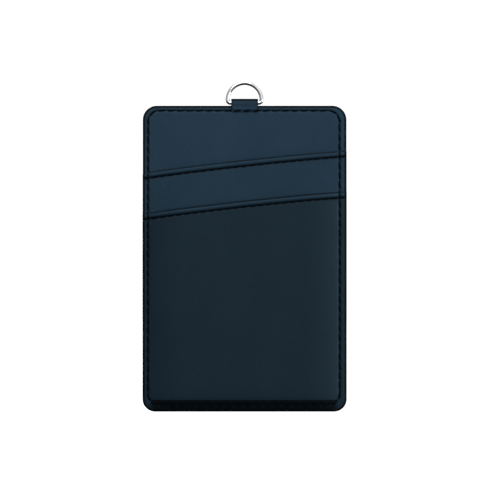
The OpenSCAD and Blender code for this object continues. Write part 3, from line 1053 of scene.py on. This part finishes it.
def tab():
    """The leather strip that is sewn to the slot side, folded over the ring's bar and sewn in behind."""
    loop_r = side("hanger_tab", HIGH, Z) - BOTTOM - BAR_Z - TAB_T / 2
    front_mid, tail_mid = TAB_FRONT + TAB_T / 2, CORE_MID_Y - PLY + TAB_T / 2 + TAB_GAP
    tail_low = side("hanger_tab", LOW, Z) - BOTTOM
    front_top, tail_top = HEIGHT - 0.55, HEIGHT - 0.6
    front = [(front_mid + tab_dip(z), z) for z in run(TAB_END, front_top, 0.16)]
    loop = []
    for a in np.radians(np.linspace(*TAB_TURN, 72)):
        # squared off in front, where the strip is creased over the bar
        squared = (abs(math.cos(a)) ** TAB_SQUARE + abs(math.sin(a)) ** TAB_SQUARE) ** (-1 / TAB_SQUARE)
        r = loop_r * (squared if math.cos(a) < 0 else 1)
        loop.append((r * math.cos(a), BAR_Z + r * math.sin(a)))
    tail = [(tail_mid, z) for z in run(tail_top, tail_low, 0.5)]
    path = np.array(front + loop + tail)
    path = np.stack([0 * path[:, 0], path[:, 0], path[:, 1]], axis=-1)
    ends = np.minimum(np.arange(len(path)), np.arange(len(path))[::-1])
    thin = 1 - TAB_SKIVE * (1 - smooth(ends / 5.0))
    # a rounded rectangle as the strip's section, scaled in thickness towards the two ends
    r = TAB_CORNER_R
    corners = [(TAB_HALF_W - r, TAB_T / 2 - r, 0), (-TAB_HALF_W + r, TAB_T / 2 - r, 90),
               (-TAB_HALF_W + r, -TAB_T / 2 + r, 180), (TAB_HALF_W - r, -TAB_T / 2 + r, 270)]
    ring = []
    for cx, cn, first in corners:
        ring += arc(cx, cn, r, first, first + 90, 6)
    top = [(x, TAB_T / 2) for x in np.linspace(TAB_HALF_W - 1, -TAB_HALF_W + 1, 14)]
    under = [(-x, -TAB_T / 2) for x, _ in top]
    ring = ring[:6] + top + ring[6:18] + under + ring[18:]
    across = np.tile([1.0, 0, 0], (len(path), 1))
    points, faces = swept(path, across, np.ones(len(path)), ring)
    shaped = points.reshape(len(path), len(ring), 3)
    shaped = path[:, None] + (shaped - path[:, None]) * np.stack([0 * thin + 1, thin, thin], axis=-1)[:, None]
    # dark along its two cut edges (edge paint and painted shade) and painted shade over the creased fold at
    # its crest
    from_middle = np.abs(np.array(ring)[:, 0])
    cut = TAB_CUT_DARK * smooth((from_middle - TAB_HALF_W + TAB_CUT_W) / 0.4)
    crest = TAB_CREST_DARK * smooth((path[:, 2] - BAR_Z - loop_r + TAB_CREASE) / 0.2)
    edge = np.maximum(cut[None, :], crest[:, None])
    piece("tab_leather", shaped.reshape(-1, 3), faces, LEATHER, "hanger_tab",
          edge=edge.ravel(), tone=0 * edge.ravel())


tab()


def ring_wire():
    """The bent wire, whose two ends meet inside the tab."""
    straight = RING_ARC_R - RING_CORNER_R
    arc_z = BAR_Z + RING_CORNER_R
    gap = 0.03    # half of the gap between the two ends
    route = [(x, BAR_Z) for x in np.linspace(-gap, -straight, 14)]
    route += arc(-straight, arc_z, RING_CORNER_R, 270, 180, 14)[1:]
    route += arc(0, arc_z, RING_ARC_R, 180, 0, 72)[1:-1]
    route += arc(straight, arc_z, RING_CORNER_R, 0, -90, 14)[:-1]
    route += [(x, BAR_Z) for x in np.linspace(straight, gap, 14)]
    path = np.array([(x, 0.0, z) for x, z in route])
    across = np.tile([0.0, 1.0, 0.0], (len(path), 1))
    points, faces = swept(path, across, np.full(len(path), WIRE_R), circle(28))
    piece("ring_wire", points, faces, CHROME, "d_ring", body="ring", slot="chrome")


ring_wire()

board = frame["nodes"]["stiffener_board"]
board.data.materials.clear()
board.data.materials.append(GREYBOARD)


# ---------------------------------------------------------------------------
# Stage
# ---------------------------------------------------------------------------

CENTRE = (1.9, 0.0, 57.0)          # what the camera looks at, in millimetres
FIELD = 175.6                      # height of the camera's view there
LENS, SENSOR = 135.0, 36.0
FLOOR_DROP = 60.0                  # how far the floor lies under the holder
FLOOR_W = 5000.0
BACKDROP = 1.1                     # how bright the white is that the camera sees
SKY = [(-0.80, 0.0), (-0.45, 0.22), (0.08, 1.0), (0.60, 1.0), (0.90, 0.6)]          # brightness by height
SIDES = [(-0.95, 0.30), (-0.45, 0.42), (0.0, 0.60), (0.45, 1.0), (0.95, 0.50)]      # and from left to right
STUDIO = 1.18                      # how strongly all of it shines


def placed(x, y, z):
    return (x * MM, y * MM, (z + BOTTOM) * MM)


def floor():
    mesh = bpy.data.meshes.new("floor")
    half = FLOOR_W / 2
    corners = [placed(a * half, b * half, -FLOOR_DROP) for a, b in ((-1, -1), (1, -1), (1, 1), (-1, 1))]
    mesh.from_pydata(corners, [], [(0, 1, 2, 3)])
    mesh.materials.append(floor_material())
    obj = bpy.data.objects.new("floor", mesh)
    bpy.context.scene.collection.objects.link(obj)
    obj.visible_diffuse = False
    obj.visible_glossy = False


def softbox(name, at, size, power, target=(0, 0, 60)):
    """A square soft light at a place, turned to a target."""
    data = bpy.data.lights.new(name, "AREA")
    data.shape = "SQUARE"
    data.size = size * MM
    data.energy = power
    obj = bpy.data.objects.new(name, data)
    bpy.context.scene.collection.objects.link(obj)
    obj.location = placed(*at)
    aim(obj, target)


def aim(obj, target):
    way = Vector(placed(*target)) - Vector(obj.location)
    obj.rotation_euler = way.to_track_quat("-Z", "Y").to_euler()


def world():
    """White to the camera. Everything else feels a studio that is bright at eye height and to the right."""
    w = bpy.data.worlds.new("studio")
    bpy.context.scene.world = w
    w.use_nodes = True
    tree = w.node_tree
    tree.nodes.clear()
    new, link = tree.nodes.new, tree.links.new

    def banded(source, stops):
        """A smooth brightness over a direction's coordinate, from -1 to 1."""
        spread, ramp = new("ShaderNodeMapRange"), new("ShaderNodeValToRGB")
        spread.inputs["From Min"].default_value = -1
        link(source, spread.inputs["Value"])
        link(spread.outputs["Result"], ramp.inputs["Fac"])
        ramp.color_ramp.interpolation = "EASE"
        while len(ramp.color_ramp.elements) < len(stops):
            ramp.color_ramp.elements.new(0.5)
        for element, (at, value) in zip(ramp.color_ramp.elements, stops):
            element.position = (at + 1) / 2
            element.color = (value, value, value, 1)
        return ramp.outputs["Color"]

    split = new("ShaderNodeSeparateXYZ")
    link(new("ShaderNodeTexCoord").outputs["Generated"], split.inputs["Vector"])
    upright = banded(split.outputs["Z"], SKY)
    across = banded(split.outputs["X"], SIDES)
    product = new("ShaderNodeMix")
    product.data_type, product.blend_type = "RGBA", "MULTIPLY"
    product.inputs["Factor"].default_value = 1
    link(upright, product.inputs[6])
    link(across, product.inputs[7])

    out = new("ShaderNodeOutputWorld")
    mix, path = new("ShaderNodeMixShader"), new("ShaderNodeLightPath")
    seen, felt = new("ShaderNodeBackground"), new("ShaderNodeBackground")
    seen.inputs["Color"].default_value = (1, 1, 1, 1)
    seen.inputs["Strength"].default_value = BACKDROP
    link(product.outputs[2], felt.inputs["Color"])
    felt.inputs["Strength"].default_value = STUDIO
    link(path.outputs["Is Camera Ray"], mix.inputs["Fac"])
    link(felt.outputs["Background"], mix.inputs[1])
    link(seen.outputs["Background"], mix.inputs[2])
    link(mix.outputs["Shader"], out.inputs["Surface"])


def camera():
    data = bpy.data.cameras.new("camera")
    data.lens = LENS
    data.sensor_width = SENSOR
    data.clip_start = 0.01
    obj = bpy.data.objects.new("camera", data)
    bpy.context.scene.collection.objects.link(obj)
    distance = FIELD * LENS / SENSOR
    obj.location = placed(CENTRE[0], LOWER_Y - distance, CENTRE[2])
    aim(obj, (CENTRE[0], 0, CENTRE[2]))
    bpy.context.scene.camera = obj


floor()
world()
softbox("key_above", (-60, -330, 420), 320, 1.5)
softbox("side_right", (480, -300, 40), 260, 1.3)
softbox("back_above", (40, 380, 360), 320, 0.3)
camera()
bpy.context.scene.view_settings.view_transform = "Standard"
